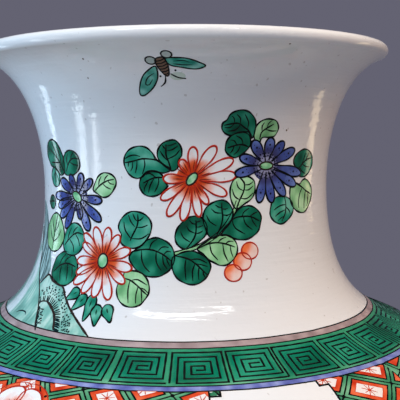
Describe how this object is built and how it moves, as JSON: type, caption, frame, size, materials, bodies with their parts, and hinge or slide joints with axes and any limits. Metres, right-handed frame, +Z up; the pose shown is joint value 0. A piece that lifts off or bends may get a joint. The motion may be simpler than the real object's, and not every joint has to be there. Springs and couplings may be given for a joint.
{
  "type": "porcelain vase",
  "caption": "Large baluster vase with a short waisted neck, flared rolled lip, broad shoulder and flared foot ring, enamelled all round.",
  "frame": {"origin": "centre of the foot, on the surface that the vase stands on", "axes": "+Z up along the axis of revolution; -Y towards the side that is decorated with the bee and the red and blue flowers"},
  "size_m": [0.326, 0.326, 0.58],
  "materials": {
    "porcelain": "clear glossy glaze over a cool white body"
  },
  "bodies": {
    "root": {"neck": "porcelain", "shoulder": "porcelain", "belly": "porcelain", "lower_body": "porcelain", "foot": "porcelain"}
  },
  "joints": []
}
